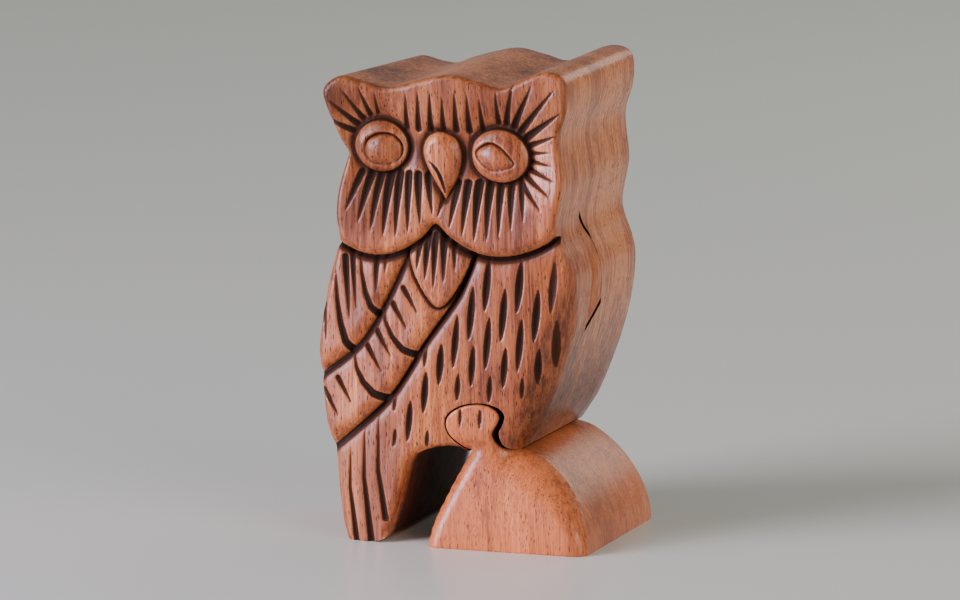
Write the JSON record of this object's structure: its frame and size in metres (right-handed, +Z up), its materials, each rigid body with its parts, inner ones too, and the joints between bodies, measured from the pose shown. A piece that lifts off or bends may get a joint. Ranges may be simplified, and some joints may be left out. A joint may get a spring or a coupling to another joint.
{
  "type": "owl puzzle box",
  "caption": "Upright owl figurine sawn from a hardwood block, on a rock whose jigsaw knob slides out of its underside, with a hidden dovetail drawer across the belly",
  "frame": {"origin": "on the table at the middle of the footprint's bounding box", "axes": "+Z up along the owl's height, the owl faces -Y, +X to the right of someone who looks at its face"},
  "size_m": [0.0894, 0.067, 0.1517],
  "materials": {
    "owl_wood": "satin waxed red-brown hardwood",
    "rock_wood": "satin waxed red-brown hardwood, a little paler",
    "drawer_wood": "sanded red-brown hardwood"
  },
  "bodies": {
    "owl": {"owl_body": "owl_wood"},
    "rock": {"rock_base": "rock_wood"},
    "drawer": {"secret_drawer": "drawer_wood"}
  },
  "joints": [
    {"name": "rock_slide", "type": "slide", "parent": "owl", "child": "rock", "axis": [0, 1, 0], "range_m": [-0.07, 0.07]},
    {"name": "drawer_slide", "type": "slide", "parent": "owl", "child": "drawer", "axis": [1, 0, 0], "range_m": [-0.08, 0.08]}
  ]
}
